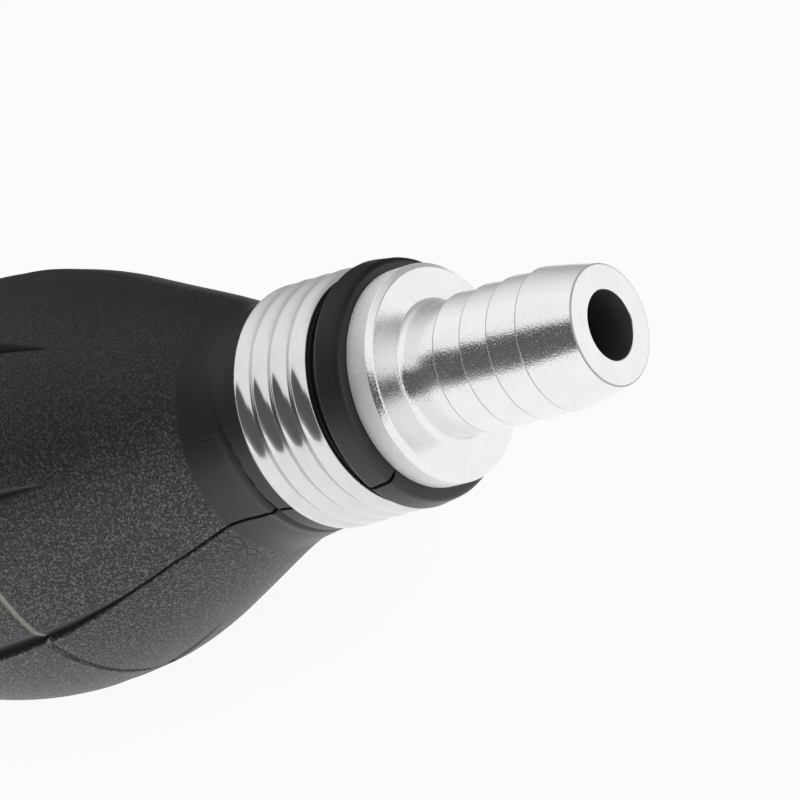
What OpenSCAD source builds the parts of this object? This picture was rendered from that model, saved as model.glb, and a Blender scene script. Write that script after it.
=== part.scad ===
// Hand siphon pump: a squeezable rubber bulb with a barbed hose fitting, a wound
// wire clamp and a one-way valve at each end.
// The pump lies along X with its middle at the origin. Liquid enters at -X and
// leaves at +X. Millimetres throughout.

/* [Bulb] */
// Radius of the bulb at its middle
belly_r = 24.95; // [23:0.05:27]
// Radius of the long arc that the belly follows
belly_arc_r = 58; // [50:1:70]
// Slope of the shoulders towards the necks, in degrees
shoulder_slope = 22.1; // [18:0.1:25]
// Radius of the hollow sweep from shoulder to neck
sweep_r = 17; // [12:1:25]
// Outside radius of the necks
neck_r = 12.95; // [12.5:0.05:14]
// Rubber thickness in the belly
wall = 3.6; // [3:0.1:4.5]
// Half the length of the grip belt between its two grooves
belt_half = 12.4; // [9:0.1:16]
// Width of those grooves
groove_w = 0.8; // [0.5:0.05:1.5]
// Depth of those grooves
groove_depth = 0.45; // [0.2:0.05:0.8]

/* [Flutes] */
// Number of fold lines round the bulb
flutes = 8; // [8:4:12]
// Half the length of a plain flute
flute_half = 23.6; // [20:0.2:26]
// Depth of a plain flute at the middle of the bulb
flute_depth = 1.3; // [0.8:0.05:2.2]
// Half the length of the two flutes on the mould line
line_flute_half = 26; // [22:0.2:28]
// Depth of a mould-line flute at the middle of the bulb
line_flute_depth = 1.1; // [0.8:0.05:2.4]
// Half the angle between a flute's two walls, in degrees
flute_half_angle = 48; // [35:1:55]

/* [Neck and lip] */
// Distance from the middle to each end face of the rubber
lip_end = 61.6; // [60:0.1:64]
// Width of the rolled lip at each end
lip_w = 2.8; // [2:0.1:4]
// Outside radius of the lip
lip_r = 13.15; // [12.5:0.05:14]
// Rounding of the lip's edges
lip_round = 0.9; // [0.3:0.1:1.2]
// Length of the recess that the clamp lies in
recess_w = 13; // [12:0.1:14]
// Radius of the rubber under the clamp
recess_r = 11.3; // [11:0.05:11.6]
// Distance from the middle to the crease behind each clamp
crease_x = 44.9; // [42:0.1:46]
// Depth of that crease
crease_depth = 0.4; // [0.2:0.1:1]

/* [Hose fitting] */
// Radius of the hose stub's open end
tip_r = 6.1; // [5:0.1:6.5]
// Radius of the barbs over their edges
barb_r = 7.3; // [7:0.05:8]
// Radius at the small end of each barb
barb_root_r = 6.85; // [6.4:0.05:7]
// Distance from the middle to each open end
tip_x = 86; // [84:0.5:90]
// Length of the first barb, from the open end to its edge
first_barb = 6; // [4:0.1:7]
// Distance between barb edges
barb_pitch = 3.55; // [3:0.05:4]
// Number of barb edges
barbs = 4; // [2:1:4]
// Radius of the bore
bore_r = 3.5; // [3:0.1:4]
// Radius of the flange that the rubber butts against
flange_r = 11.5; // [10:0.1:12]
// Thickness of the flange
flange_t = 3.2; // [2:0.1:4]
// Chamfer round the flange's outer face
flange_chamfer = 0.55; // [0.2:0.05:1]
// Radius of the cove between flange and hose stub
cove_r = 0.8; // [0.4:0.1:1.5]
// Radius of the spigot inside the rubber neck
spigot_r = 8.4; // [8:0.05:8.8]
// Distance from the middle to the spigot's inner end
spigot_end = 41; // [40:0.5:42]
// Height of the spigot's holding ridges
ridge_h = 0.5; // [0.2:0.1:0.8]

/* [Clamp] */
// Width of the clamp's flattened wire
wire_w = 2.05; // [1.8:0.05:2.1]
// Thickness of the clamp's wire
wire_t = 1.8; // [1.2:0.05:1.9]
// Distance between the clamp's turns
wire_pitch = 2.62; // [2.5:0.01:2.7]
// Number of turns in the clamp
wire_turns = 3.9; // [3:0.1:3.9]

/* [Check valve] */
// Radius of the valve chamber in the spigot
chamber_r = 6.2; // [5.8:0.1:6.4]
// Thickness of the valve seat
seat_t = 4; // [3.5:0.1:4.2]
// Radius of the hole through the seat
seat_hole_r = 3.4; // [3:0.1:3.5]
// How far the poppet lifts
lift = 2; // [1:0.1:2]
// Radius of the poppet's head
poppet_r = 4.8; // [4.5:0.1:5]
// Radius of the poppet's stem
stem_r = 1.2; // [1:0.05:1.3]
// Running clearance round the stem
stem_fit = 0.06; // [0.03:0.01:0.1]
// Thickness of the stem's guide
guide_t = 2; // [1.5:0.1:2.2]
// Middle radius of the valve spring
spring_r = 3.1; // [2.9:0.05:3.4]
// Radius of the spring's wire
spring_wire_r = 0.3; // [0.2:0.05:0.35]
// Number of coils in the spring
spring_coils = 4; // [3:1:5]

/* [Squeeze] */
// Gap round each grip panel
panel_gap = 0.25; // [0.2:0.05:0.4]

/* [Hidden] */
$fn = 96;

eps = 0.01;
rubber = [0.13, 0.13, 0.14];
aluminium = [0.82, 0.82, 0.83];
plated_wire = [0.78, 0.79, 0.80];
acetal = [0.06, 0.06, 0.07];
seal_rubber = [0.10, 0.09, 0.09];
spring_steel = [0.62, 0.63, 0.65];

flute_step = 360 / flutes;             // angle from one flute to the next
first_flute = flute_step / 2;          // the lowest panel is centred under the pump

arc_centre = belly_r - belly_arc_r;    // where the long arc is centred, below the axis
groove_low_x = belt_half + 0.7 * groove_w; // the belt's side of a groove slopes the more
groove_end_x = belt_half + groove_w;
cone_x = belly_arc_r * sin(shoulder_slope);
cone_r = arc_centre + belly_arc_r * cos(shoulder_slope);
sweep_start_r = neck_r + sweep_r * (1 - cos(shoulder_slope));
sweep_start_x = cone_x + (cone_r - sweep_start_r) / tan(shoulder_slope);
sweep_end_x = sweep_start_x + sweep_r * sin(shoulder_slope);
recess_x = lip_end - lip_w - recess_w; // inner end of the clamp's recess

cavity_arc_r = belly_arc_r - wall;
cavity_cone_x = cavity_arc_r * sin(shoulder_slope);
cavity_cone_r = arc_centre + cavity_arc_r * cos(shoulder_slope);
neck_bore_r = spigot_r - 0.05;         // the rubber grips the spigot
cavity_end_x = cavity_cone_x + (cavity_cone_r - neck_bore_r) / tan(shoulder_slope);

flange_x = lip_end + flange_t;         // outer face of the flange
ridge_places = [56.5, 52.5, 48.5];     // steep sides of the spigot's ridges
ridge_l = 2.4;                         // length of each ridge's slope
chamber_x = 57;                        // outer end of the valve chamber
ring_w = 1;                            // width of the retaining ring
ring_gap = 3;                          // opening in the retaining ring
ring_seat = 0.5;                       // depth of the ring's groove
ring_groove_x = spigot_end + 1.2;      // inner side of the ring's groove
ring_groove_w = ring_w + 0.1;
outlet_valve_x = ring_groove_x + ring_groove_w; // where each cartridge starts
inlet_valve_x = -chamber_x;
cartridge_l = chamber_x - outlet_valve_x;

wire_r = recess_r + wire_t / 2 * sin(60) - 0.03; // middle of the clamp's wire
clamp_start_x = 46.95;                 // middle of the wire where the clamp starts

panel_x = belt_half - panel_gap;       // half the length of a grip panel
window_z = (belly_r - line_flute_depth) * sin(flute_step / 2); // its opening, halved
block_y = 12;                          // the block that parts a panel starts here
block_t = 20;

// ---- shared shapes -------------------------------------------------------

// Turns a half outline, drawn with radius along X and length along Y, round the
// pump's own axis.
module turned() {
    rotate([0, 90, 0]) rotate_extrude() children();
}

// A ring that lies round the axis: mid radius, section radius and place.
module o_ring(mid_r, section_r, x) {
    translate([x, 0, 0]) turned() translate([mid_r, 0]) circle(section_r);
}

// Points of one wire section, six-sided, at angle a along the winding.
function wire_ring(mid_r, half_w, half_t, x, a) = [
    for (k = [0:5]) let (r = mid_r + half_t * sin(60 * k), dx = half_w * cos(60 * k))
        [x + dx, -r * sin(a), r * cos(a)]
];

// All the sections of a right-handed winding round the X axis.
function winding(mid_r, half_w, half_t, x, pitch, turns, start, per_turn) = [
    for (i = [0:round(turns * per_turn)]) let (t = i / per_turn)
        wire_ring(mid_r, half_w, half_t, x + pitch * t, start + 360 * t)
];

// Least distance between the points of one turn and those of the next.
function least_gap(rings, per_turn) = min([
    for (i = [0:len(rings) - 1 - per_turn], j = [-1:1])
        let (m = i + per_turn + j)
        if (m < len(rings)) for (p = rings[i], q = rings[m]) norm(p - q)
]);

// One unbroken tube through the sections, closed at both ends.
module tube(rings) {
    last = len(rings) - 1;
    sides = [for (i = [0:last - 1], k = [0:5])
        let (a = 6 * i + k, b = 6 * i + (k + 1) % 6, c = a + 6, d = b + 6)
        each [[a, b, d], [a, d, c]]];
    ends = [for (k = [1:4]) each [[0, k + 1, k], [6 * last, 6 * last + k, 6 * last + k + 1]]];
    polyhedron(points = [for (ring = rings) each ring], faces = concat(sides, ends));
}

// ---- bulb ----------------------------------------------------------------

// Points along an arc: centre, radius, first and last angle, number of steps.
function arc(centre, r, from, to, steps) = [
    for (i = [0:steps]) let (a = from + (to - from) * i / steps)
        [centre[0] + r * cos(a), centre[1] + r * sin(a)]
];

// Radius of the long arc at a distance from the middle.
function belly_skin(x) = arc_centre + sqrt(belly_arc_r * belly_arc_r - x * x);

// One end of the bulb's skin, from the middle out: belt, groove, shoulder, sweep, neck,
// crease, clamp recess and rolled lip.
bulb_skin = concat(
    arc([arc_centre, 0], belly_arc_r, 0, asin(belt_half / belly_arc_r), 3),
    [[belly_skin(groove_low_x) - groove_depth, groove_low_x]],
    arc([arc_centre, 0], belly_arc_r, asin(groove_end_x / belly_arc_r), shoulder_slope, 3),
    arc([neck_r + sweep_r, sweep_end_x], sweep_r, 180 + shoulder_slope, 180, 6),
    [
        [neck_r, crease_x - crease_depth], [neck_r - crease_depth, crease_x],
        [neck_r, crease_x + crease_depth],
        [neck_r, recess_x], [recess_r, recess_x], [recess_r, lip_end - lip_w]
    ],
    arc([lip_r - lip_round, lip_end - lip_w + lip_round], lip_round, -90, 0, 4),
    arc([lip_r - lip_round, lip_end - lip_round], lip_round, 0, 90, 4)
);

// One end of the hollow inside, from the middle out: pump chamber and neck bore.
bulb_hollow = concat(
    arc([arc_centre, 0], cavity_arc_r, 0, shoulder_slope, 4),
    [[neck_bore_r, cavity_end_x], [neck_bore_r, lip_end]]
);

// An end's points mirrored to the other end, without the one in the middle.
function other_end(points) = [for (i = [1:len(points) - 1]) [points[i][0], -points[i][1]]];

function reversed(points) = [for (i = [len(points) - 1:-1:0]) points[i]];

module bulb_of_revolution() {
    turned() polygon(concat(
        reversed(other_end(bulb_skin)), bulb_skin,
        reversed(bulb_hollow), other_end(bulb_hollow)
    ));
}

// Cutter for one flute: a V whose bottom follows an arc from end to end.
module flute(half, depth) {
    end_r = cone_r - (half - cone_x) * tan(shoulder_slope); // skin where the flute ends
    bottom = belly_r - depth;
    rise = bottom - end_r;
    arc_r = (half * half + rise * rise) / (2 * rise);
    reach = asin((half + 3) / arc_r);
    cut = 6;
    translate([0, 0, bottom - arc_r]) rotate([90, 0, 0]) rotate([0, 0, 90 - reach])
        rotate_extrude(angle = 2 * reach) polygon([
            [arc_r, 0], [arc_r + cut, -cut * tan(flute_half_angle)],
            [arc_r + cut, cut * tan(flute_half_angle)]
        ]);
}

// The whole moulding, before the grip panels are parted from it.
module bulb_moulding() {
    difference() {
        bulb_of_revolution();
        for (i = [0:flutes - 1]) {
            angle = first_flute + i * flute_step;
            on_line = (i % (flutes / 2) == flutes / 4);
            rotate([angle, 0, 0]) flute(
                on_line ? line_flute_half : flute_half,
                on_line ? line_flute_depth : flute_depth
            );
        }
    }
}

// Block that reaches through the belly wall at the front (side -1) or back.
module panel_block(side, half_x, half_z) {
    translate([-half_x, side > 0 ? block_y : -block_y - block_t, -half_z])
        cube([2 * half_x, block_t, 2 * half_z]);
}

module bulb() {
    color(rubber) difference() {
        bulb_moulding();
        for (side = [-1, 1]) panel_block(side, belt_half, window_z);
    }
}

module grip_panel(side) {
    intersection() {
        bulb_moulding();
        panel_block(side, panel_x, window_z - panel_gap);
    }
}

module front_grip_panel() {
    color(rubber) grip_panel(-1);
}

module back_grip_panel() {
    color(rubber) grip_panel(1);
}

// ---- hose fitting --------------------------------------------------------

// Outline of the solid part of the fitting, from the open end to the spigot.
fitting_outline = concat(
    [[0, tip_x], [tip_r, tip_x]],
    [for (i = [0:barbs - 1]) let (x = tip_x - first_barb - i * barb_pitch)
        each [[barb_r, x], [barb_root_r, x - 0.25]]],
    arc([barb_root_r + 0.25 + cove_r, flange_x + cove_r], cove_r, 180, 270, 4),
    [
        [flange_r - flange_chamfer, flange_x], [flange_r, flange_x - flange_chamfer],
        [flange_r, lip_end], [spigot_r, lip_end]
    ],
    [for (x = ridge_places) each [
        [spigot_r, x], [spigot_r + ridge_h, x], [spigot_r, x - ridge_l]]],
    [[spigot_r, spigot_end + 0.6], [spigot_r - 0.6, spigot_end], [0, spigot_end]]
);

module hose_fitting() {
    difference() {
        turned() polygon(fitting_outline);
        turned() polygon([
            [0, spigot_end - 1], [chamber_r, spigot_end - 1], [chamber_r, chamber_x],
            [bore_r, chamber_x], [bore_r, tip_x - 0.2], [bore_r + 0.4, tip_x + 0.2],
            [0, tip_x + 0.2]
        ]);
        turned() translate([0, ring_groove_x]) square([chamber_r + ring_seat, ring_groove_w]);
    }
}

module outlet_fitting() {
    color(aluminium) hose_fitting();
}

module inlet_fitting() {
    color(aluminium) mirror([1, 0, 0]) hose_fitting();
}

// ---- wound wire clamp ----------------------------------------------------

clamp_rings = winding(
    wire_r, wire_w / 2, wire_t / 2, clamp_start_x, wire_pitch, wire_turns, -90, 24
);
echo(clamp_least_gap = least_gap(clamp_rings, 24));

module outlet_clamp() {
    color(plated_wire) tube(clamp_rings);
}

module inlet_clamp() {
    color(plated_wire) rotate([0, 180, 0]) tube(clamp_rings);
}

// ---- check valve cartridge -----------------------------------------------
// Each cartridge starts at its seat and lets liquid pass towards +X. These places
// are measured from that start.

seat_cone_x = 2.5;     // where the seat's cone starts
seat_clearance = 0.03; // round the pieces that drop into the chamber
seal_mid_r = 3.75;     // seal on the poppet's nose
seal_section_r = 0.6;
seal_x = 3.81;
nose_x = 2.7;
head_x = 4.45;         // poppet's head
head_t = 1.5;
boss_x = head_x + head_t + 0.9; // collar that stops on the guide's hub
stem_end_x = cartridge_l - 0.1;
guide_x = cartridge_l - guide_t;
hub_r = 2.3;
hub_x = boss_x + lift + 0.05;

module valve_seat(x) {
    translate([x, 0, 0]) turned() difference() {
        square([chamber_r - seat_clearance, seat_t]);
        polygon([
            [0, -1], [seat_hole_r + 1, -1], [seat_hole_r + 1, 0], [seat_hole_r, 1],
            [seat_hole_r, seat_cone_x], [seat_hole_r + 4, seat_cone_x + 4], [0, seat_cone_x + 4]
        ]);
        translate([chamber_r - 1, 0.9]) square([2, 1.1]);
    }
}

module seat_seal(x) {
    o_ring(chamber_r - 0.51, 0.48, x + 1.45);
}

module poppet(x) {
    translate([x, 0, 0]) turned() polygon([
        [0, nose_x], [2.6, nose_x], [3.1, nose_x + 0.5], [3.1, head_x],
        [poppet_r - 0.3, head_x], [poppet_r, head_x + 0.3], [poppet_r, head_x + head_t - 0.3],
        [poppet_r - 0.3, head_x + head_t], [hub_r + 0.2, head_x + head_t],
        [hub_r, boss_x], [stem_r, boss_x], [stem_r, stem_end_x - 0.3],
        [stem_r - 0.3, stem_end_x], [0, stem_end_x]
    ]);
}

module poppet_seal(x) {
    o_ring(seal_mid_r, seal_section_r, x + seal_x);
}

spring_l = guide_x - head_x - head_t - 2 * spring_wire_r - 0.1;
spring_rings = winding(
    spring_r, spring_wire_r, spring_wire_r, head_x + head_t + spring_wire_r + 0.05,
    spring_l / spring_coils, spring_coils, 0, 8
);
echo(spring_least_gap = least_gap(spring_rings, 8));

module valve_spring(x) {
    translate([x, 0, 0]) tube(spring_rings);
}

// Ring, hub and three spokes that carry the stem and the spring.
module stem_guide(x) {
    translate([x, 0, 0]) difference() {
        union() {
            turned() translate([chamber_r - 1.2, guide_x])
                square([1.2 - seat_clearance, guide_t]);
            turned() translate([0, hub_x]) square([hub_r, cartridge_l - hub_x]);
            for (i = [0:2]) rotate([120 * i, 0, 0])
                translate([guide_x, -0.7, hub_r - 0.5])
                    cube([guide_t, 1.4, chamber_r - 0.9 - (hub_r - 0.5)]);
        }
        turned() translate([0, hub_x - 1]) square([stem_r + stem_fit, cartridge_l]);
    }
}

// Spring ring with an open gap, seated in the fitting's groove.
module retaining_ring(x) {
    translate([x, 0, 0]) difference() {
        turned() translate([chamber_r - 1.2, 0]) square([1.2 + ring_seat - 0.05, ring_w]);
        translate([-1, -ring_gap / 2, 0]) cube([ring_w + 2, ring_gap, 10]);
    }
}

module outlet_valve_seat() {
    color(acetal) valve_seat(outlet_valve_x);
}

module outlet_seat_seal() {
    color(seal_rubber) seat_seal(outlet_valve_x);
}

module outlet_poppet() {
    color(acetal) poppet(outlet_valve_x);
}

module outlet_poppet_seal() {
    color(seal_rubber) poppet_seal(outlet_valve_x);
}

module outlet_spring() {
    color(spring_steel) valve_spring(outlet_valve_x);
}

module outlet_stem_guide() {
    color(acetal) stem_guide(outlet_valve_x);
}

module outlet_retaining_ring() {
    color(spring_steel) retaining_ring(outlet_valve_x - ring_w - 0.05);
}

module inlet_valve_seat() {
    color(acetal) valve_seat(inlet_valve_x);
}

module inlet_seat_seal() {
    color(seal_rubber) seat_seal(inlet_valve_x);
}

module inlet_poppet() {
    color(acetal) poppet(inlet_valve_x);
}

module inlet_poppet_seal() {
    color(seal_rubber) poppet_seal(inlet_valve_x);
}

module inlet_spring() {
    color(spring_steel) valve_spring(inlet_valve_x);
}

module inlet_stem_guide() {
    color(acetal) stem_guide(inlet_valve_x);
}

module inlet_retaining_ring() {
    color(spring_steel) retaining_ring(inlet_valve_x + cartridge_l + 0.05);
}

bulb();
front_grip_panel();
back_grip_panel();
outlet_fitting();
outlet_clamp();
outlet_valve_seat();
outlet_seat_seal();
outlet_poppet();
outlet_poppet_seal();
outlet_spring();
outlet_stem_guide();
outlet_retaining_ring();
inlet_fitting();
inlet_clamp();
inlet_valve_seat();
inlet_seat_seal();
inlet_poppet();
inlet_poppet_seal();
inlet_spring();
inlet_stem_guide();
inlet_retaining_ring();
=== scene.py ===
from math import copysign, cos, hypot, pi, radians, sin, sqrt, tan

import bmesh
import bpy
from mathutils import Matrix, Vector


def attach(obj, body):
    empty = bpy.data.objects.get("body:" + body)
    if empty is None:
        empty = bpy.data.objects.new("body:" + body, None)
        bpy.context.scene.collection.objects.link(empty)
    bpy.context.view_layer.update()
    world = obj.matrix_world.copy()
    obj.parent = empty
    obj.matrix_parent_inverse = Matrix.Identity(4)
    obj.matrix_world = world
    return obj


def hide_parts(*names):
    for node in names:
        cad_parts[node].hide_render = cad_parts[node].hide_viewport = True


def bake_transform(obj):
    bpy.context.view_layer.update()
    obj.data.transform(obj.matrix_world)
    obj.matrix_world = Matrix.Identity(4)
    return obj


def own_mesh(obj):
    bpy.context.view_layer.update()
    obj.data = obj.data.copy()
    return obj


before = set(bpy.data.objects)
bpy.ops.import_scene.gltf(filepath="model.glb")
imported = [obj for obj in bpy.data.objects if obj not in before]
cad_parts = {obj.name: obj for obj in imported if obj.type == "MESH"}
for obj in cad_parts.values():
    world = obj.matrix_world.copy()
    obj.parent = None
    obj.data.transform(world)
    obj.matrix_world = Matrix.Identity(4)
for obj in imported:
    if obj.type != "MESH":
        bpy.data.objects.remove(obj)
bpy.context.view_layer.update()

mm = 0.001


# small helpers

def dropSelection():
    if bpy.context.object and bpy.context.object.mode != "OBJECT":
        bpy.ops.object.mode_set(mode="OBJECT")
    bpy.ops.object.select_all(action="DESELECT")


def takeUp(piece):
    # makes one piece the only thing that an operator acts on
    dropSelection()
    piece.select_set(True)
    bpy.context.view_layer.objects.active = piece


def settle(piece):
    # puts the place of a finished piece into its mesh
    takeUp(piece)
    bpy.ops.object.transform_apply(location=True, rotation=True, scale=True)


def applyAll(piece):
    takeUp(piece)
    for modifier in list(piece.modifiers):
        bpy.ops.object.modifier_apply(modifier=modifier.name)


def linear(code):
    # sRGB hex to the linear values that shaders take
    parts = [int(code[i:i + 2], 16) / 255 for i in (1, 3, 5)]
    return tuple(c / 12.92 if c <= 0.04045 else ((c + 0.055) / 1.055) ** 2.4 for c in parts) + (1,)


def add(tree, kind, settings=None, links=None):
    # adds a node: settings are its properties or sockets, links are sockets fed by others
    node = tree.nodes.new(kind)
    for key, value in (settings or {}).items():
        if isinstance(key, str) and hasattr(node, key):
            setattr(node, key, value)
        else:
            node.inputs[key].default_value = value
    for key, source in (links or {}).items():
        tree.links.new(source, node.inputs[key])
    return node


def newMaterial(name):
    material = bpy.data.materials.new(name)
    material.use_nodes = True
    tree = material.node_tree
    tree.nodes.clear()
    return material, tree


def perMetre(size):
    # scale of a noise whose features are this many millimetres across
    return 1 / (size * mm)


# camera

camera = {
    "place": (0.2267, -0.1815, 0.0738),
    "up": (0.2030, 0.5316, 0.8223),
    "back": (0.6533, -0.6991, 0.2907),      # from what it looks at, to the camera
    "lens": 112.5, "sensor": 36,            # mm
}


def makeCamera():
    data = bpy.data.cameras.new("camera")
    data.lens = camera["lens"]
    data.sensor_width = camera["sensor"]
    data.clip_start = 0.01
    piece = bpy.data.objects.new("camera", data)
    bpy.context.scene.collection.objects.link(piece)
    back = Vector(camera["back"]).normalized()
    right = Vector(camera["up"]).cross(back).normalized()
    up = back.cross(right)
    turned = Matrix((right, up, back)).transposed().to_4x4()
    piece.matrix_world = Matrix.Translation(camera["place"]) @ turned
    bpy.context.scene.camera = piece


makeCamera()
print("camera in place")


# materials

def mouldedNitrile():
    # black nitrile rubber from a spark-eroded mould: a leathery grain on the shoulders and
    # belt that stops short of the necks, and a soft grey sheen with no shine. The flutes were
    # cut after the grain, so their walls are plain, and the mould line's groove has painted shade, near
    # black
    grainWidth = 0.27
    grainDepth = 0.5
    fineWidth = 0.16
    fineDepth = 0.015
    patchWidth = 12
    smoothFrom = 38.4       # the grain ends here, on the way from the middle to a neck
    smoothTo = 39.0
    grainAndGlintFadeFrom = 12.0         # height above which the grain's bump and its painted glints fade
    grainAndGlintFullFrom = -9.0        # and below which both are full
    edgeFrom = 12.5         # the painted highlight strip on the belt's edge
    edgeTo = 12.9
    edgeBlur = 0.1
    paleTo = 9.5            # how far above and below the middle the strip runs
    paleBlur = 0.6
    material, tree = newMaterial("mouldedNitrile")
    place = add(tree, "ShaderNodeTexCoord")
    plain = add(tree, "ShaderNodeAttribute", {"attribute_name": "fluteWall"})
    seamShade = add(tree, "ShaderNodeAttribute", {"attribute_name": "mouldLineShade"})
    pebbles = add(tree, "ShaderNodeTexNoise",
                  {"Scale": perMetre(grainWidth), "Detail": 2.0, "Roughness": 0.6},
                  {"Vector": place.outputs["Object"]})
    fine = add(tree, "ShaderNodeTexNoise", {"Scale": perMetre(fineWidth), "Detail": 1.0},
               {"Vector": place.outputs["Object"]})
    axes = add(tree, "ShaderNodeSeparateXYZ", links={"Vector": place.outputs["Object"]})
    along = add(tree, "ShaderNodeMath", {"operation": "ABSOLUTE"}, {0: axes.outputs["X"]})
    grained = add(tree, "ShaderNodeMapRange",
                  {"From Min": smoothFrom * mm, "From Max": smoothTo * mm, "To Min": 1.0,
                   "To Max": 0.0}, {"Value": along.outputs[0]})
    grainAndGlintByHeight = add(tree, "ShaderNodeMapRange",
                {"interpolation_type": "SMOOTHSTEP", "From Min": grainAndGlintFadeFrom * mm,
                 "From Max": grainAndGlintFullFrom * mm, "To Min": 0.2, "To Max": 1.0},
                {"Value": axes.outputs["Z"]})
    kept = add(tree, "ShaderNodeMath", {"operation": "MULTIPLY"},
               {0: grained.outputs[0], 1: grainAndGlintByHeight.outputs[0]})
    uncut = add(tree, "ShaderNodeMapRange", {"To Min": 1.0, "To Max": 0.0},
                {"Value": plain.outputs["Fac"]})
    raised = add(tree, "ShaderNodeMath", {"operation": "MULTIPLY"},
                 {0: kept.outputs[0], 1: uncut.outputs[0]})
    coarse = add(tree, "ShaderNodeBump", {"Distance": grainDepth * mm},
                 {"Height": pebbles.outputs["Fac"], "Strength": raised.outputs[0]})
    close = add(tree, "ShaderNodeBump", {"Strength": 0.4, "Distance": fineDepth * mm},
                {"Height": fine.outputs["Fac"], "Normal": coarse.outputs["Normal"]})
    # the belt's edge is smooth, and a painted highlight makes it pale on the sides
    high = add(tree, "ShaderNodeMath", {"operation": "ABSOLUTE"}, {0: axes.outputs["Z"]})
    paintedHighlight = None
    for source, start, end in ((along, edgeFrom - edgeBlur, edgeFrom + edgeBlur),
                               (along, edgeTo + edgeBlur, edgeTo - edgeBlur),
                               (high, paleTo + paleBlur, paleTo - paleBlur)):
        share = add(tree, "ShaderNodeMapRange", {"From Min": start * mm, "From Max": end * mm},
                    {"Value": source.outputs[0]})
        if paintedHighlight:
            share = add(tree, "ShaderNodeMath", {"operation": "MULTIPLY"},
                        {0: paintedHighlight.outputs[0], 1: share.outputs[0]})
        paintedHighlight = share
    patches = add(tree, "ShaderNodeTexNoise", {"Scale": perMetre(patchWidth), "Detail": 3.0},
                  {"Vector": place.outputs["Object"]})
    tone = add(tree, "ShaderNodeMix", {"data_type": "RGBA"}, {"Factor": patches.outputs["Fac"]})
    tone.inputs["A"].default_value = linear("#19191a")
    tone.inputs["B"].default_value = linear("#202021")
    # painted glints: the grain's tops are paler than its pits, more so lower down
    top = add(tree, "ShaderNodeMapRange", {"From Min": 0.48, "From Max": 0.66},
              {"Value": pebbles.outputs["Fac"]})
    paintedGlint = add(tree, "ShaderNodeMath", {"operation": "MULTIPLY"},
               {0: top.outputs[0], 1: raised.outputs[0]})
    speckled = add(tree, "ShaderNodeMix", {"data_type": "RGBA"},
                   {"Factor": paintedGlint.outputs[0], "A": tone.outputs["Result"]})
    speckled.inputs["B"].default_value = linear("#727273")
    # painted highlight on the belt's edge
    highlighted = add(tree, "ShaderNodeMix", {"data_type": "RGBA"},
                 {"Factor": paintedHighlight.outputs[0], "A": speckled.outputs["Result"]})
    highlighted.inputs["B"].default_value = linear("#98968f")
    # painted shade in the mould line's groove
    seamShaded = add(tree, "ShaderNodeMix", {"data_type": "RGBA"},
                {"Factor": seamShade.outputs["Fac"], "A": highlighted.outputs["Result"]})
    seamShaded.inputs["B"].default_value = linear("#0a0a0a")
    gloss = add(tree, "ShaderNodeMapRange", {"To Min": 0.34, "To Max": 0.44},
                {"Value": patches.outputs["Fac"]})
    shader = add(tree, "ShaderNodeBsdfPrincipled", {"IOR": 1.52},
                 {"Base Color": seamShaded.outputs["Result"], "Roughness": gloss.outputs[0],
                  "Normal": close.outputs["Normal"]})
    add(tree, "ShaderNodeOutputMaterial", links={"Surface": shader.outputs[0]})
    return material


def turnedAluminium(name, smooth, rough, stretch, lay, layDepth, speckDepth):
    # aluminium bar turned on a lathe: fine tool marks and a faint speckle. The marks are rings
    # round the axis, which stretch each reflection along the part, or lines along the rim.
    # Real ones are finer, and would not show
    ringWidth = 0.12
    speckWidth = 0.15
    smearWidth = 3
    duller = 0.2            # how much rougher the dull specks are
    material, tree = newMaterial(name)
    place = add(tree, "ShaderNodeTexCoord")
    ringPlace = add(tree, "ShaderNodeMapping", {"Scale": lay}, {"Vector": place.outputs["Object"]})
    rings = add(tree, "ShaderNodeTexNoise", {"Scale": perMetre(ringWidth), "Detail": 2.0},
                {"Vector": ringPlace.outputs[0]})
    specks = add(tree, "ShaderNodeTexNoise", {"Scale": perMetre(speckWidth), "Detail": 2.0},
                 {"Vector": place.outputs["Object"]})
    smears = add(tree, "ShaderNodeTexNoise", {"Scale": perMetre(smearWidth), "Detail": 3.0},
                 {"Vector": place.outputs["Object"]})
    turnedIn = add(tree, "ShaderNodeBump", {"Strength": 1.0, "Distance": layDepth * mm},
                   {"Height": rings.outputs["Fac"]})
    speckled = add(tree, "ShaderNodeBump", {"Strength": 1.0, "Distance": speckDepth * mm},
                   {"Height": specks.outputs["Fac"], "Normal": turnedIn.outputs["Normal"]})
    gloss = add(tree, "ShaderNodeMapRange", {"To Min": smooth, "To Max": rough},
                {"Value": smears.outputs["Fac"]})
    tone = add(tree, "ShaderNodeMix", {"data_type": "RGBA"}, {"Factor": smears.outputs["Fac"]})
    tone.inputs["A"].default_value = linear("#e9e9e9")
    tone.inputs["B"].default_value = linear("#f6f6f6")
    # dull specks, which break up the dark streaks with light grains and leave lit metal alone
    dulled = add(tree, "ShaderNodeMapRange",
                 {"From Min": 0.52, "From Max": 0.64, "To Max": rough + duller},
                 {"Value": specks.outputs["Fac"], "To Min": gloss.outputs[0]})
    around = add(tree, "ShaderNodeTangent", {"direction_type": "RADIAL", "axis": "X"})
    shader = add(tree, "ShaderNodeBsdfPrincipled", {"Metallic": 1.0, "Anisotropic": stretch},
                 {"Base Color": tone.outputs["Result"], "Roughness": dulled.outputs[0],
                  "Normal": speckled.outputs["Normal"], "Tangent": around.outputs[0]})
    add(tree, "ShaderNodeOutputMaterial", links={"Surface": shader.outputs[0]})
    return material


def filedEdgeShade():
    # an edge of the same aluminium, dulled by a file and darkened by painted shade: a soft grey
    # line, darker than lit metal and brighter than the dark streaks
    material, tree = newMaterial("filedEdgeShade")
    shader = add(tree, "ShaderNodeBsdfPrincipled", {"Metallic": 1.0, "Roughness": 0.75})
    shader.inputs["Base Color"].default_value = linear("#c9c9ca")
    add(tree, "ShaderNodeOutputMaterial", links={"Surface": shader.outputs[0]})
    return material


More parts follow.
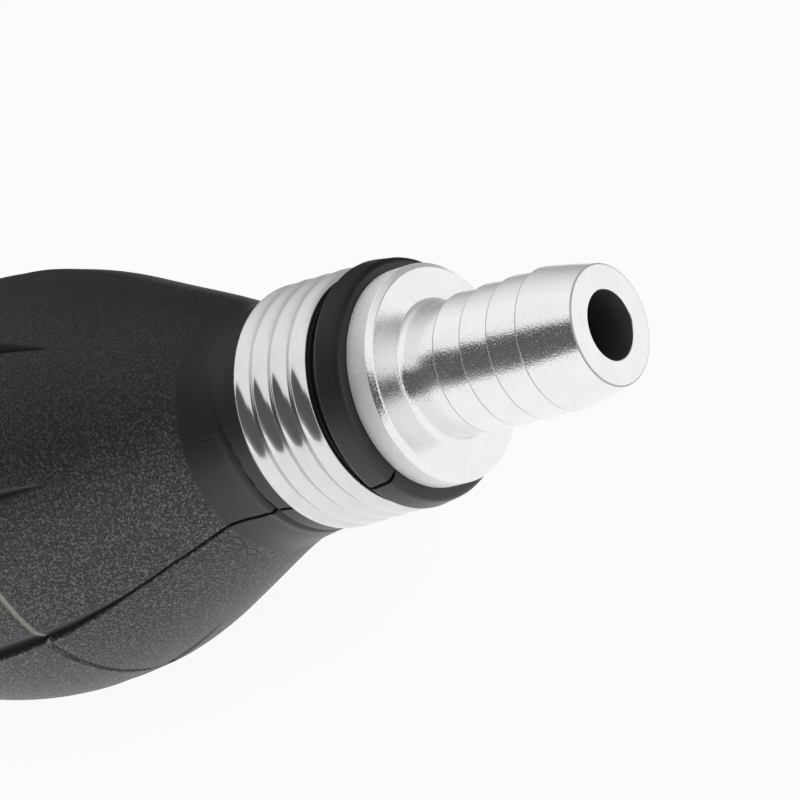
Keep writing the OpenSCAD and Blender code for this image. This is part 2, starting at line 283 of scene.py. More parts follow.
def shadedBore():
    # the same aluminium inside the drilled bore, dulled, and darkened by painted shade in soft blotches
    blotchWidth = 1.5
    material, tree = newMaterial("shadedBore")
    place = add(tree, "ShaderNodeTexCoord")
    blotches = add(tree, "ShaderNodeTexNoise", {"Scale": perMetre(blotchWidth), "Detail": 3.0},
               {"Vector": place.outputs["Object"]})
    tone = add(tree, "ShaderNodeMix", {"data_type": "RGBA"}, {"Factor": blotches.outputs["Fac"]})
    tone.inputs["A"].default_value = linear("#4a494a")
    tone.inputs["B"].default_value = linear("#5c5b5b")
    shader = add(tree, "ShaderNodeBsdfPrincipled", {"Metallic": 0.3, "Roughness": 0.5},
                 {"Base Color": tone.outputs["Result"]})
    add(tree, "ShaderNodeOutputMaterial", links={"Surface": shader.outputs[0]})
    return material


def platedWire():
    # zinc-plated spring wire, rolled flat: near-mirror, with fine drawing lines along it
    lineWidth = 0.1
    lineDepth = 0.004
    stainWidth = 2.5
    material, tree = newMaterial("platedWire")
    place = add(tree, "ShaderNodeTexCoord")
    drawn = add(tree, "ShaderNodeMapping", {"Scale": (1.0, 0.05, 0.05)},
                {"Vector": place.outputs["Object"]})
    lines = add(tree, "ShaderNodeTexNoise", {"Scale": perMetre(lineWidth), "Detail": 2.0},
                {"Vector": drawn.outputs[0]})
    stains = add(tree, "ShaderNodeTexNoise", {"Scale": perMetre(stainWidth), "Detail": 4.0},
                 {"Vector": place.outputs["Object"]})
    scored = add(tree, "ShaderNodeBump", {"Strength": 0.4, "Distance": lineDepth * mm},
                 {"Height": lines.outputs["Fac"]})
    gloss = add(tree, "ShaderNodeMapRange", {"To Min": 0.1, "To Max": 0.17},
                {"Value": stains.outputs["Fac"]})
    tone = add(tree, "ShaderNodeMix", {"data_type": "RGBA"}, {"Factor": stains.outputs["Fac"]})
    tone.inputs["A"].default_value = linear("#d4d4d2")
    tone.inputs["B"].default_value = linear("#e6e6e4")
    shader = add(tree, "ShaderNodeBsdfPrincipled", {"Metallic": 1.0},
                 {"Base Color": tone.outputs["Result"], "Roughness": gloss.outputs[0],
                  "Normal": scored.outputs["Normal"]})
    add(tree, "ShaderNodeOutputMaterial", links={"Surface": shader.outputs[0]})
    return material


def plainPolymer(name, dark, light, low, high, grain):
    # a moulded black polymer: a little cloudy in colour and gloss, with a fine skin
    cloudWidth = 2
    skinDepth = 0.01
    material, tree = newMaterial(name)
    place = add(tree, "ShaderNodeTexCoord")
    cloud = add(tree, "ShaderNodeTexNoise", {"Scale": perMetre(cloudWidth), "Detail": 3.0},
                {"Vector": place.outputs["Object"]})
    skin = add(tree, "ShaderNodeTexNoise", {"Scale": perMetre(grain), "Detail": 2.0},
               {"Vector": place.outputs["Object"]})
    bump = add(tree, "ShaderNodeBump", {"Strength": 0.4, "Distance": skinDepth * mm},
               {"Height": skin.outputs["Fac"]})
    tone = add(tree, "ShaderNodeMix", {"data_type": "RGBA"}, {"Factor": cloud.outputs["Fac"]})
    tone.inputs["A"].default_value = linear(dark)
    tone.inputs["B"].default_value = linear(light)
    gloss = add(tree, "ShaderNodeMapRange", {"To Min": low, "To Max": high},
                {"Value": cloud.outputs["Fac"]})
    shader = add(tree, "ShaderNodeBsdfPrincipled", {"IOR": 1.48},
                 {"Base Color": tone.outputs["Result"], "Roughness": gloss.outputs[0],
                  "Normal": bump.outputs["Normal"]})
    add(tree, "ShaderNodeOutputMaterial", links={"Surface": shader.outputs[0]})
    return material


def springSteel():
    # hard-drawn steel, ground bright, a shade darker and duller than the plating
    cloudWidth = 0.6
    material, tree = newMaterial("springSteel")
    place = add(tree, "ShaderNodeTexCoord")
    cloud = add(tree, "ShaderNodeTexNoise", {"Scale": perMetre(cloudWidth), "Detail": 3.0},
                {"Vector": place.outputs["Object"]})
    tone = add(tree, "ShaderNodeMix", {"data_type": "RGBA"}, {"Factor": cloud.outputs["Fac"]})
    tone.inputs["A"].default_value = linear("#a9a9aa")
    tone.inputs["B"].default_value = linear("#c6c6c8")
    gloss = add(tree, "ShaderNodeMapRange", {"To Min": 0.22, "To Max": 0.35},
                {"Value": cloud.outputs["Fac"]})
    shader = add(tree, "ShaderNodeBsdfPrincipled", {"Metallic": 1.0},
                 {"Base Color": tone.outputs["Result"], "Roughness": gloss.outputs[0]})
    add(tree, "ShaderNodeOutputMaterial", links={"Surface": shader.outputs[0]})
    return material


rubber = mouldedNitrile()
aluminium = turnedAluminium("turnedAluminium", smooth=0.08, rough=0.13, stretch=0.2,
                            lay=(1, 0.02, 0.02), layDepth=0.003, speckDepth=0.016)
rimAluminium = turnedAluminium("milledAluminium", smooth=0.6, rough=0.75, stretch=0.0,
                               lay=(0.05, 0.7, 0.7), layDepth=0.05, speckDepth=0.03)
dullShadedEdge = filedEdgeShade()
boreShade = shadedBore()
wire = platedWire()
acetal = plainPolymer("blackAcetal", dark="#1b1b1d", light="#262628", low=0.32, high=0.42, grain=0.3)
sealRubber = plainPolymer("sealRubber", dark="#151515", light="#1f1e1e", low=0.55, high=0.7, grain=0.15)
steel = springSteel()
print("materials made")


# outlines shared by the turned pieces

def arcPoints(centre, radius, start, end, steps):
    return [(centre[0] + radius * cos(radians(start + (end - start) * i / steps)),
             centre[1] + radius * sin(radians(start + (end - start) * i / steps)))
            for i in range(steps + 1)]


def easeCorners(points, size, steps=3):
    # breaks each corner of an open outline with a small curve, as a real edge is broken, and
    # keeps the stretches between corners flat with a point close to each curve
    straight = radians(12)
    mostOfSide = 0.3        # a break takes no more of a short side than this share
    lead = 1.4
    eased = [points[0]]
    for before, corner, after in zip(points, points[1:], points[2:]):
        corner = Vector(corner)
        inward = Vector(before) - corner
        outward = Vector(after) - corner
        if inward.angle(-outward) < straight:
            eased.append(tuple(corner))
            continue
        cut = min(size, mostOfSide * inward.length, mostOfSide * outward.length)
        start = corner + inward.normalized() * cut
        end = corner + outward.normalized() * cut
        eased.append(tuple(corner + inward.normalized() * cut * lead))
        for i in range(steps + 1):
            t = i / steps
            eased.append(tuple(start * (1 - t) ** 2 + corner * 2 * t * (1 - t) + end * t * t))
        eased.append(tuple(corner + outward.normalized() * cut * lead))
    return eased + [points[-1]]


def fade(value):
    # a smooth way from 1 at nought to 0 at one
    value = min(1.0, abs(value))
    return 1 - value * value * (3 - 2 * value)


def turnOnLathe(name, outline, steps):
    # one vertex is drawn along the outline (x, radius), then spun round the X axis
    dropSelection()
    bpy.ops.mesh.primitive_plane_add(size=mm, location=(0, 0, 0))
    piece = bpy.context.object
    piece.name = name
    bpy.ops.object.mode_set(mode="EDIT")
    bpy.ops.mesh.select_all(action="SELECT")
    bpy.ops.mesh.merge(type="CENTER")
    bpy.ops.transform.translate(value=(outline[0][0] * mm, 0, outline[0][1] * mm))
    for (x0, r0), (x1, r1) in zip(outline, outline[1:]):
        bpy.ops.mesh.extrude_vertices_move(
            TRANSFORM_OT_translate={"value": ((x1 - x0) * mm, 0, (r1 - r0) * mm)})
    bpy.ops.mesh.select_all(action="SELECT")
    bpy.ops.mesh.spin(steps=steps, angle=2 * pi, center=(0, 0, 0), axis=(1, 0, 0))
    bpy.ops.mesh.select_all(action="SELECT")
    bpy.ops.mesh.remove_doubles(threshold=0.002 * mm)
    bpy.ops.mesh.normals_make_consistent(inside=False)
    bpy.ops.object.mode_set(mode="OBJECT")
    return piece


def otherEnd(piece, name):
    # the same piece turned half round Z, for the inlet end
    dropSelection()
    copy = piece.copy()
    copy.data = piece.data.copy()
    copy.name = name
    bpy.context.scene.collection.objects.link(copy)
    copy.rotation_euler = (0, 0, pi)
    settle(copy)
    return copy


def smoothBy(piece, angle):
    takeUp(piece)
    bpy.ops.object.shade_smooth_by_angle(angle=radians(angle))


def rideInPlace(piece, body, node):
    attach(piece, body)
    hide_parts(node)


# hose fittings

fitting = {
    "tipX": 86.0, "tipR": 6.1, "boreR": 3.5,
    "barbEdges": [80.0, 76.3, 72.85, 69.35],    # where each barb's edge stands
    "barbR": 7.3, "rootR": 6.86, "barbFall": 0.22, "swell": 0.05,
    "flangeX": 64.8, "flangeR": 11.5, "flangeT": 3.2, "chamfer": 0.55, "cove": 0.8, "coveLift": 0.2,
    "spigotR": 8.4, "spigotEnd": 41.0, "spigotChamfer": 0.6, "chamberR": 6.2, "chamberX": 57.0,
    "mouth": 0.1, "broken": 0.13,       # the chamfer of the bore's mouth, and of every other edge
    "steps": 200,
}


def fittingOutline():
    f = fitting
    outer = [(f["tipX"], f["boreR"] + f["mouth"]), (f["tipX"], f["tipR"])]
    fromX, fromR = f["tipX"], f["tipR"]
    for edge in f["barbEdges"]:
        for t in (0.25, 0.5, 0.75):
            swell = f["swell"] * 4 * t * (1 - t)
            outer.append((fromX + (edge - fromX) * t, fromR + (f["barbR"] - fromR) * t + swell))
        outer += [(edge, f["barbR"]), (edge - f["barbFall"], f["rootR"])]
        fromX, fromR = edge - f["barbFall"], f["rootR"]
    cove = (f["flangeX"] + f["cove"], f["rootR"] + f["coveLift"] + f["cove"])
    outer += arcPoints(cove, -f["cove"], 90, 0, 6)
    seatX = f["flangeX"] - f["flangeT"]
    outer += [
        (f["flangeX"], f["flangeR"] - f["chamfer"]), (f["flangeX"] - f["chamfer"], f["flangeR"]),
        (seatX, f["flangeR"]), (seatX, f["spigotR"]),
        (f["spigotEnd"] + f["spigotChamfer"], f["spigotR"]),
        (f["spigotEnd"], f["spigotR"] - f["spigotChamfer"]), (f["spigotEnd"], f["chamberR"]),
        (f["chamberX"], f["chamberR"]), (f["chamberX"], f["boreR"]),
        (f["tipX"] - f["mouth"], f["boreR"]),
    ]
    return easeCorners(outer + [outer[0]], f["broken"])


def makeFittings():
    f = fitting
    outlet = turnOnLathe("outletFitting", fittingOutline(), f["steps"])
    for finish in (aluminium, boreShade, rimAluminium, dullShadedEdge):
        outlet.data.materials.append(finish)
    edges = [(x, f["barbR"]) for x in f["barbEdges"]] + [(f["tipX"], f["tipR"])]
    boreTo = f["boreR"] + 0.05
    rimFrom = f["flangeR"] - 0.04
    steepest = 0.3          # of a rim face's normal along the axis, which leaves out the chamfer
    # the bore's faces take painted shade, and the faces at the barbs' and tip's edges a filed edge with
    # painted shade
    for face in outlet.data.polygons:
        along = face.center.x / mm
        out = hypot(face.center.y, face.center.z) / mm
        if out < boreTo:
            face.material_index = 1
        elif out > rimFrom and abs(face.normal.x) < steepest:
            face.material_index = 2
        elif any(hypot(along - x, out - r) < f["broken"] for x, r in edges):
            face.material_index = 3
    smoothBy(outlet, 35)
    rideInPlace(otherEnd(outlet, "inletFitting"), "root", "inlet_fitting")
    rideInPlace(outlet, "root", "outlet_fitting")


makeFittings()
print("fittings turned")


# wound wire: clamps and valve springs

clamp = {
    "startX": 46.95, "pitch": 2.62, "turns": 3.9, "startAngle": -90.0,
    "midR": 12.25, "width": 2.56, "thickness": 1.8, "power": 2.1, "sides": 32, "perTurn": 90,
    "flare": 0.25,      # how much wider the first turn stands, where it climbs the neck
}
valveSpring = {
    "pitch": 1.2625, "turns": 4.0, "startAngle": 0.0,
    "midR": 3.1, "width": 0.6, "thickness": 0.6, "power": 2.0, "sides": 12, "perTurn": 40,
    "flare": 0.0,
    "fromSeat": 6.3, "toGuide": 11.7,   # from a valve's start to the first turn, and to the guide
    "keep": 0.65,
}
# where each valve starts; both let liquid pass towards +X
valveStart = {"outlet": 43.3, "inlet": -57.0}


def windWire(name, coil, startX):
    # one section, swept round the X axis by a screw, with its two ends closed
    dropSelection()
    bpy.ops.mesh.primitive_circle_add(vertices=coil["sides"], radius=1, location=(0, 0, 0),
                                      rotation=(pi / 2, 0, 0))
    piece = bpy.context.object
    piece.name = name
    settle(piece)
    for point in piece.data.vertices:
        across, out = point.co.x, point.co.z
        # a higher power gives a rolled wire: flat faces, and turns that lie close together
        across = copysign(abs(across) ** (2 / coil["power"]), across)
        out = copysign(abs(out) ** (2 / coil["power"]), out)
        point.co = ((startX + across * coil["width"] / 2) * mm, 0,
                    (coil["midR"] + out * coil["thickness"] / 2) * mm)
    piece.rotation_euler = (radians(coil["startAngle"]), 0, 0)
    settle(piece)
    screw = piece.modifiers.new("wind", "SCREW")
    screw.axis = "X"
    screw.angle = 2 * pi * coil["turns"]
    screw.screw_offset = coil["pitch"] * coil["turns"] * mm
    screw.iterations = 1
    screw.steps = round(coil["perTurn"] * coil["turns"])
    screw.render_steps = screw.steps
    applyAll(piece)
    length = coil["pitch"] * coil["turns"]
    for point in piece.data.vertices:
        flare = coil["flare"] * fade((point.co.x / mm - startX) / length)
        grown = 1 + flare / coil["midR"]
        point.co.y *= grown
        point.co.z *= grown
    closeEnds(piece)
    smoothBy(piece, 50)
    return piece


def closeEnds(piece):
    # closes each open end with a rim drawn in a little: a dressed wire end
    drawnIn = 0.85
    takeUp(piece)
    bpy.ops.object.mode_set(mode="EDIT")
    bpy.ops.mesh.select_mode(type="EDGE")
    mesh = bmesh.from_edit_mesh(piece.data)
    loose = {edge for edge in mesh.edges if edge.is_boundary}
    rims = []
    while loose:
        rim = {loose.pop()}
        found = rim
        while found:
            ends = {point for edge in rim for point in edge.verts}
            found = {edge for edge in loose if edge.verts[0] in ends or edge.verts[1] in ends}
            rim |= found
            loose -= found
        rims.append({point.index for edge in rim for point in edge.verts})
    for rim in rims:
        bpy.ops.mesh.select_all(action="DESELECT")
        mesh = bmesh.from_edit_mesh(piece.data)
        for edge in mesh.edges:
            if edge.is_boundary and edge.verts[0].index in rim:
                edge.select_set(True)
        bmesh.update_edit_mesh(piece.data)
        bpy.ops.mesh.extrude_region_move()
        bpy.ops.transform.resize(value=(drawnIn, drawnIn, drawnIn))
        bpy.ops.mesh.edge_face_add()
    bpy.ops.mesh.select_all(action="SELECT")
    bpy.ops.mesh.normals_make_consistent(inside=False)
    bpy.ops.object.mode_set(mode="OBJECT")


def makeClamps():
    outlet = windWire("outletClamp", clamp, clamp["startX"])
    outlet.data.materials.append(wire)
    rideInPlace(otherEnd(outlet, "inletClamp"), "root", "inlet_clamp")
    rideInPlace(outlet, "root", "outlet_clamp")


def makeSprings():
    # each spring is wound at its valve and rides on the root
    for end, start in valveStart.items():
        coil = windWire(end + "Spring", valveSpring, start + valveSpring["fromSeat"])
        coil.data.materials.append(steel)
        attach(coil, "root")
        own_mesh(coil)
        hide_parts(end + "_spring")


makeClamps()
makeSprings()
print("clamps and springs wound")


# bulb

# The moulding is the same end for end. In what follows x is a distance from the middle, and
# turn is the angle from straight up, from 0 to 180 degrees on either half.
bulb = {
    "middleR": 24.95, "arcR": 58.0, "slope": 22.1, "sweepR": 17.0, "neckR": 12.95, "wall": 3.6,
    "collarX": 47.0, "collarRound": 0.2, "collarReach": 1.6, "recessR": 11.7, "recessStill": 49,
    "boreR": 8.4, "boreFrom": 50,
    "lipFrom": 58.35, "lipEnd": 61.6, "lipR": 13.15, "lipFall": 0.3, "lipRound": 0.7,
}
# (from, to, spacing) of the mesh's rows along the outside, closest where the belt's edge is cut
rowSpacing = [(0, 12.2, 0.72), (12.2, 13.4, 0.08), (13.4, 41.6, 0.6), (41.6, 46.7, 0.16)]
# degrees between the mesh's columns, on the flutes, beside and on the mould line, and elsewhere
columnSpacing = {"flute": 0.45, "besideSeam": 0.35, "seam": 0.16, "open": 2.0, "least": 0.9}
# (x, drop) of the middle of each cross-section: the soft moulding sags a little below its axis
sagRoute = [(0, 0), (9, 0), (14, 0.2), (26, 0.24), (34, 0.18), (42, 0.48), (46, 0.1), (50, 0),
            (61.6, 0)]
belt = {"half": 12.4, "width": 0.9, "low": 0.7, "edge": 0.05}
# (turn, depth) of the grooves that bound the belt
beltDepth = [(0, 0), (50, 0.05), (88, 0.45), (120, 0.5), (138, 0.75), (180, 0.75)]
flutes = {"half": 23.6, "depth": 1.3, "halfAngle": 48.0, "edge": 0.1}
runOutPower = 0.9       # below 1, a flute keeps its depth longer
grainGone = 0.05        # depth of a flute from which its wall is plain
# the flute that runs along the mould line has one gentle wall and one steep one
lineFlute = {"half": 25.3, "depth": 0.9, "gentle": 66.0, "steep": 14.0, "edge": 0.06, "above": 0.5}
seam = {"width": 0.4, "depth": 0.9, "reach": 8}     # reach, in degrees: columns that follow it
# (x, turn) of the mould line on the front half, which wanders a little at the necks
seamRoute = [(0, 112.6), (11, 112.8), (16, 113.4), (22, 113.2), (28, 112.5), (35, 111.6),
             (39.2, 110.4), (41, 111.4), (43, 112.8), (46, 112.6), (47, 114.2), (57, 112.0),
             (60.2, 113.6), (61.6, 112.4)]
crease = {"half": 0.34, "edge": 0.04, "welt": 0.25, "weltAt": -0.75, "weltHalf": 0.5}
# (turn, x) and (turn, depth) of the crease that the clamp pulls into the neck
creaseRoute = [(0, 42.2), (31, 42.3), (57, 43.8), (74, 44.7), (93, 45.0), (113, 45.2), (180, 45.0)]
creaseDepth = [(0, 0), (40, 0), (57, 0.2), (90, 0.5), (112, 0.65), (118, 0.3), (180, 0.2)]
# (turn, x) of the collar's edge, where the neck swells against the clamp
collarRoute = [(0, 46.3), (15, 46.6), (25, 46.8), (45, 47.1), (80, 47.6), (110, 47.8), (140, 47.6),
               (180, 47.2)]
halves = {
    "front": {"side": -1, "seam": 112.6, "flutes": [22.5, 67.5, 157.5]},
    "back": {"side": 1, "seam": 67.4, "flutes": [22.5, 112.5, 157.5]},
}


def between(route, at):
    for (x0, value0), (x1, value1) in zip(route, route[1:]):
        if at <= x1:
            return value0 + (value1 - value0) * (at - x0) / (x1 - x0)
    return route[-1][1]


def easing(route, at):
    # like between, but without a corner at each point of the route
    for (x0, value0), (x1, value1) in zip(route, route[1:]):
        if at <= x1:
            return value1 + (value0 - value1) * fade((at - x0) / (x1 - x0))
    return route[-1][1]


def softStep(value, width):
    # 0 below zero and value above it, with a rounded corner
    if value <= -width:
        return 0.0
    if value >= width:
        return value
    return (value + width) ** 2 / (4 * width)


def shoulderSizes():
    b = bulb
    slope = radians(b["slope"])
    centre = b["middleR"] - b["arcR"]
    coneX = b["arcR"] * sin(slope)
    coneR = centre + b["arcR"] * cos(slope)
    sweepR = b["neckR"] + b["sweepR"] * (1 - cos(slope))
    sweepX = coneX + (coneR - sweepR) / tan(slope)
    return slope, centre, coneX, coneR, sweepX, sweepX + b["sweepR"] * sin(slope)


def skinRadius(x):
    # the moulding's plain outside: a long arc, a straight shoulder, a hollow sweep and the neck
    b = bulb
    slope, centre, coneX, coneR, sweepX, neckX = shoulderSizes()
    if x < coneX:
        return centre + sqrt(b["arcR"] ** 2 - x * x)
    if x < sweepX:
        return coneR - (x - coneX) * tan(slope)
    if x < neckX:
        return b["neckR"] + b["sweepR"] - sqrt(b["sweepR"] ** 2 - (neckX - x) ** 2)
    return b["neckR"]


def runOut(flute, x):
    # a flute is deepest at the middle and runs out on the shoulders
    return flute["depth"] * max(0.0, 1 - (x / flute["half"]) ** 2) ** runOutPower


def fluteCut(half, x, turn, seamTurn, radius):
    cut = 0.0
    for angle in half["flutes"]:
        away = abs(radians(turn - angle)) * radius
        wall = away / tan(radians(flutes["halfAngle"]))
        cut = max(cut, softStep(runOut(flutes, x) - wall, flutes["edge"]))
    away = radians(turn - seamTurn + lineFlute["above"]) * radius
    wall = abs(away) / tan(radians(lineFlute["gentle" if away < 0 else "steep"]))
    return max(cut, softStep(runOut(lineFlute, x) - wall, lineFlute["edge"]))


def beltCut(x, turn):
    # the groove beside the belt, with a long slope on the belt's side
    along = (x - belt["half"]) / belt["width"]
    beyond = 0.3
    if not -beyond < along < 1 + beyond:
        return 0.0
    share = min(along / belt["low"], (1 - along) / (1 - belt["low"]))
    return softStep(between(beltDepth, turn) * share, belt["edge"])


def creaseCut(x, turn):
    away = x - between(creaseRoute, turn)
    depth = between(creaseDepth, turn)
    cut = softStep(depth * (1 - abs(away) / crease["half"]), crease["edge"])
    welt = crease["welt"] * depth * fade((away - crease["weltAt"]) / crease["weltHalf"])
    return cut - welt


def seamCut(turn, seamTurn, radius):
    away = abs(radians(turn - seamTurn)) * radius / (seam["width"] / 2)
    return seam["depth"] * max(0.0, 1 - away ** 2)


def spaced(start, end, size):
    count = max(1, round((end - start) / size))
    return [start + (end - start) * i / count for i in range(count)]


def outerRows():
    # one end of the outside from the middle out, as (x, radius); None stands for the skin
    b = bulb
    rows = []
    for start, end, size in rowSpacing:
        rows += [(x, None) for x in spaced(start, end, size)]
    r = b["collarRound"]
    lead = 0.08
    rows += [(b["collarX"] - r - lead, None)]
    rows += arcPoints((b["collarX"] - r, b["neckR"] - r), r, 90, 0, 4)
    rows += [(b["collarX"], b["recessR"]), (b["recessStill"], b["recessR"]), (b["lipFrom"], b["recessR"])]
    r = b["lipRound"]
    rows += arcPoints((b["lipFrom"] + r, b["lipR"] - r), r, 180, 90, 7)
    rows += arcPoints((b["lipEnd"] - r, b["lipR"] - b["lipFall"] - r), r, 90, 0, 7)
    return rows


def hollowRows():
    # one end of the pump chamber and of the neck's bore
    b = bulb
    spacing = 2.5
    slope, centre = shoulderSizes()[:2]
    arcR = b["arcR"] - b["wall"]
    coneX = arcR * sin(slope)
    coneR = centre + arcR * cos(slope)
    endX = coneX + (coneR - b["boreR"]) / tan(slope)
    rows = [(x, centre + sqrt(arcR ** 2 - x * x)) for x in spaced(0, coneX, spacing)]
    return rows + [(coneX, coneR), (endX, b["boreR"]), (b["boreFrom"], b["boreR"]),
                   (b["lipEnd"], b["boreR"])]


def columnTurns(half):
    # the mesh's columns stand close together along the flutes and the mould line
    step = columnSpacing
    seamEdge = half["seam"] - 2.6
    turns = {0.0, 180.0}
    for angle in half["flutes"]:
        turns |= {angle + step["flute"] * k for k in range(-11, 12)}
    turns |= {seamEdge - step["besideSeam"] * k for k in range(1, 9)}
    turns |= {half["seam"] + step["seam"] * k for k in range(-16, 17)}
    turns |= {a for a in (step["open"] * k for k in range(90))
              if min(abs(a - t) for t in turns) > step["least"]}
    return sorted(turns)


def skinPoint(half, rowX, rowR, columnTurn):
    # where one vertex of the outside lies, at a distance along the axis, a turn and a radius,
    # and how far it is in a flute's wall and in the mould line
    x = abs(rowX)
    seamTurn = between(seamRoute, x)
    if half["side"] > 0:
        seamTurn = 180 - seamTurn
    turn = columnTurn + (seamTurn - half["seam"]) * fade((columnTurn - half["seam"]) / seam["reach"])
    fromCollar = (x - bulb["collarX"]) / bulb["collarReach"]
    x += (between(collarRoute, turn) - bulb["collarX"]) * fade(fromCollar)
    radius = skinRadius(x) if rowR is None else rowR
    inFlute = 0.0
    if rowR is None:
        inFlute = fluteCut(half, x, turn, seamTurn, radius)
        radius -= inFlute + beltCut(x, turn) + creaseCut(x, turn)
    inSeam = seamCut(turn, seamTurn, radius)
    radius -= inSeam + easing(sagRoute, x) * cos(radians(turn))
    # painted shade: the mould line is near black over its deeper half
    marks = min(1.0, inFlute / grainGone), min(1.0, 2 * inSeam / seam["depth"])
    return (x if rowX >= 0 else -x), turn, radius, marks


def makeBulbHalf(name, half):
    outer = outerRows()
    inner = hollowRows()
    rows = [(-x, r, True) for x, r in reversed(outer[1:])] + [(x, r, True) for x, r in outer]
    rows += [(x, r, False) for x, r in reversed(inner)] + [(-x, r, False) for x, r in inner[1:]]
    turns = columnTurns(half)
    across = len(rows)
    dropSelection()
    bpy.ops.mesh.primitive_grid_add(x_subdivisions=across - 1, y_subdivisions=len(turns) - 1,
                                    size=2, location=(0, 0, 0))
    piece = bpy.context.object
    piece.name = name
    wallShare = piece.data.attributes.new("fluteWall", "FLOAT", "POINT").data
    seamShadeShare = piece.data.attributes.new("mouldLineShade", "FLOAT", "POINT").data
    for index, point in enumerate(piece.data.vertices):
        x, radius, outside = rows[index % across]
        turn = turns[index // across]
        if outside:
            x, turn, radius, marks = skinPoint(half, x, radius, turn)
            wallShare[index].value, seamShadeShare[index].value = marks
        point.co = (x * mm, half["side"] * radius * sin(radians(turn)) * mm,
                    radius * cos(radians(turn)) * mm)
    takeUp(piece)
    bpy.ops.object.mode_set(mode="EDIT")
    mesh = bmesh.from_edit_mesh(piece.data)
    mesh.verts.ensure_lookup_table()
    # the two ends of the outline meet at the inlet's end face
    for line in range(len(turns) - 1):
        start = line * across
        mesh.faces.new([mesh.verts[i] for i in (start, start + across - 1, start + 2 * across - 1,
                                                start + across)])
    # the cut faces lie against the other half
    for line in (0, len(turns) - 1):
        mesh.faces.new([mesh.verts[line * across + k] for k in range(across)])
    bmesh.update_edit_mesh(piece.data)
    bpy.ops.mesh.select_all(action="SELECT")
    bpy.ops.mesh.normals_make_consistent(inside=False)
    bpy.ops.object.mode_set(mode="OBJECT")
    piece.data.materials.append(rubber)
    smoothBy(piece, 40)
    return piece


def makeBulb():
    for word, half in halves.items():
        piece = makeBulbHalf(word + "BulbHalf", half)
        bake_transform(piece)
        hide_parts("bulb", word + "_grip_panel")
        print(piece.name, "faces", len(piece.data.polygons))


makeBulb()
print("bulb moulded")


# valve pieces kept from the frame

def dressValves():
    finishes = {"valve_seat": acetal, "poppet": acetal, "stem_guide": acetal,
                "seat_seal": sealRubber, "poppet_seal": sealRubber, "retaining_ring": steel}
    for end in valveStart:
        for part, finish in finishes.items():
            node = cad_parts[end + "_" + part]
            node.data.materials.clear()
            node.data.materials.append(finish)


dressValves()
print("valves dressed")


# stage and light

studio = {
    "floorZ": -24.97, "floorR": 3.0, "floorInView": 0.93, "floorInGloss": 1.06, "world": 0.5,
    "tentLength": 3.0,
    # x of the two ends of the bands' slant, and how far a band is turned there, in radians
    "slantFromX": -0.62, "slantToX": 0.18, "slant": 0.22,
    # (turn from straight up, negative to the front; brightness) of what the metal reflects
    "metalTent": [(-180, 1.0), (-96, 1.1), (-92, 0.4), (-84, 0.2), (-76, 0.12), (-38, 0.1),
                  (-35, 0.95), (8, 1.0), (28, 0.88), (48, 0.7), (68, 0.45), (88, 0.45),
                  (180, 0.9)],
    # and of what the rubber reflects, which is dimmer
    "rubberTent": [(-180, 1.0), (-98, 1.0), (-82, 0.22), (-60, 0.04), (-45, 0.08), (-28, 0.22),
                   (-3, 0.42), (20, 0.38), (46, 0.2), (60, 0.12), (90, 0.1), (180, 0.1)],
}


def seenAs(tree, viewed, reflected):
    # one share for what the camera looks at, another for what a reflection or glass shows,
    # and nought for light on the object
    path = add(tree, "ShaderNodeLightPath")
    mirrored = add(tree, "ShaderNodeMath", {"operation": "MAXIMUM"},
                   {0: path.outputs["Is Glossy Ray"], 1: path.outputs["Is Transmission Ray"]})
    inGloss = add(tree, "ShaderNodeMath", {"operation": "MULTIPLY", 1: reflected},
                  {0: mirrored.outputs[0]})
    inView = add(tree, "ShaderNodeMath", {"operation": "MULTIPLY", 1: viewed},
                 {0: path.outputs["Is Camera Ray"]})
    return add(tree, "ShaderNodeMath", {"operation": "MAXIMUM"},
               {0: inGloss.outputs[0], 1: inView.outputs[0]}).outputs[0]


def makeWorld():
    world = bpy.data.worlds.new("studio")
    bpy.context.scene.world = world
    world.use_nodes = True
    tree = world.node_tree
    tree.nodes.clear()
    light = add(tree, "ShaderNodeBackground", {"Color": (1, 1, 1, 1), "Strength": studio["world"]})
    white = add(tree, "ShaderNodeBackground", {"Color": (1, 1, 1, 1), "Strength": 1.0})
    both = add(tree, "ShaderNodeMixShader", links={0: seenAs(tree, 1.0, 1.0), 1: light.outputs[0],
                                                   2: white.outputs[0]})
    add(tree, "ShaderNodeOutputWorld", links={"Surface": both.outputs[0]})


def makeFloor():
    dropSelection()
    bpy.ops.mesh.primitive_circle_add(vertices=96, radius=studio["floorR"], fill_type="NGON",
                                      location=(0, 0, studio["floorZ"] * mm))
    floorPiece = bpy.context.object
    floorPiece.name = "floor"
    settle(floorPiece)
    material, tree = newMaterial("paleFloor")
    matt = add(tree, "ShaderNodeBsdfDiffuse", {"Color": (0.9, 0.9, 0.9, 1)})
    white = add(tree, "ShaderNodeEmission", {"Color": (1, 1, 1, 1), "Strength": 1.0})
    share = seenAs(tree, studio["floorInView"], studio["floorInGloss"])
    both = add(tree, "ShaderNodeMixShader", links={0: share, 1: matt.outputs[0],
                                                   2: white.outputs[0]})
    add(tree, "ShaderNodeOutputMaterial", links={"Surface": both.outputs[0]})
    floorPiece.data.materials.append(material)


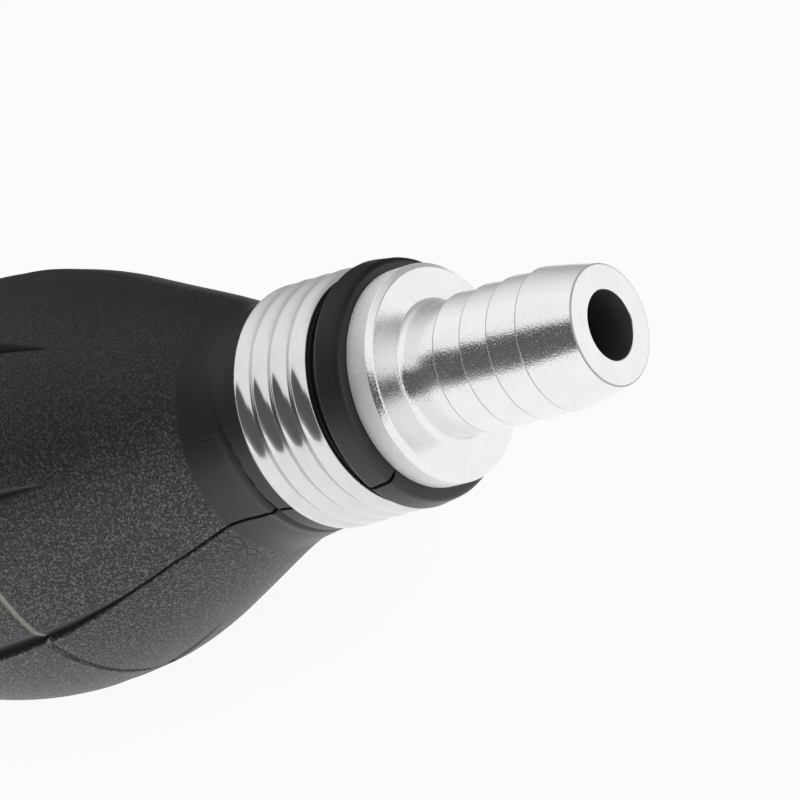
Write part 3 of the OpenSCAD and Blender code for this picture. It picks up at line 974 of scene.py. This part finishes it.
def makeTent(name, levels, aslant, radius, clear, bulbState):
    # a light tent that only reflections see, with the dark gap where the camera stands. One
    # lights the bulb's sheen and one everything else; the inner one lets the other's rays pass
    dropSelection()
    bpy.ops.mesh.primitive_cylinder_add(vertices=128, radius=radius, depth=studio["tentLength"],
                                        end_fill_type="NOTHING", location=(0, 0, 0),
                                        rotation=(0, pi / 2, 0))
    tent = bpy.context.object
    tent.name = name
    settle(tent)
    material, tree = newMaterial(name)
    place = add(tree, "ShaderNodeTexCoord")
    axes = add(tree, "ShaderNodeSeparateXYZ", links={"Vector": place.outputs["Object"]})
    turn = add(tree, "ShaderNodeMath", {"operation": "ARCTAN2"},
               {0: axes.outputs["Y"], 1: axes.outputs["Z"]})
    # the bands run aslant: higher up on the left, lower on the right
    slant = add(tree, "ShaderNodeMapRange",
                {"From Min": studio["slantFromX"], "From Max": studio["slantToX"],
                 "To Min": -studio["slant"], "To Max": studio["slant"]}, {"Value": axes.outputs["X"]})
    slanted = add(tree, "ShaderNodeMath", {"operation": "MULTIPLY_ADD", 1: aslant},
                  {0: slant.outputs[0], 2: turn.outputs[0]})
    share = add(tree, "ShaderNodeMapRange", {"From Min": -pi, "From Max": pi},
                {"Value": slanted.outputs[0]})
    ramp = add(tree, "ShaderNodeValToRGB", links={"Fac": share.outputs[0]})
    stops = ramp.color_ramp.elements
    for angle, level in levels:
        position = (angle + 180) / 360
        atEnd = {0.0: stops[0], 1.0: stops[-1]}
        stop = atEnd.get(position) or stops.new(position)
        stop.color = (level, level, level, 1)
    glow = add(tree, "ShaderNodeEmission", {"Strength": 1.0}, {"Color": ramp.outputs["Color"]})
    if clear:
        through = add(tree, "ShaderNodeBsdfTransparent")
        glow = add(tree, "ShaderNodeAddShader", links={0: glow.outputs[0], 1: through.outputs[0]})
    add(tree, "ShaderNodeOutputMaterial", links={"Surface": glow.outputs[0]})
    tent.data.materials.append(material)
    tent.visible_camera = False
    tent.visible_diffuse = False
    tent.visible_shadow = False
    bulbPieces = bpy.data.collections.new(name + "Bulb")
    for word in halves:
        bulbPieces.objects.link(bpy.data.objects[word + "BulbHalf"])
    for member in bulbPieces.collection_objects:
        member.light_linking.link_state = bulbState
    tent.light_linking.receiver_collection = bulbPieces


def areaLight(name, place, size, power):
    data = bpy.data.lights.new(name, "AREA")
    data.shape = "RECTANGLE"
    data.size, data.size_y = size
    data.energy = power
    lamp = bpy.data.objects.new(name, data)
    bpy.context.scene.collection.objects.link(lamp)
    lamp.location = place
    lamp.rotation_euler = (-Vector(place)).to_track_quat("-Z", "Y").to_euler()
    lamp.visible_glossy = False


makeWorld()
makeFloor()
makeTent("metalTent", studio["metalTent"], aslant=1.0, radius=0.6, clear=True, bulbState="EXCLUDE")
makeTent("rubberTent", studio["rubberTent"], aslant=0.0, radius=0.62, clear=False,
         bulbState="INCLUDE")
areaLight("frontBox", place=(-0.1, -0.6, 0.12), size=(0.8, 0.2), power=3.0)
bpy.context.scene.view_settings.view_transform = "Standard"
print("stage and lights set")
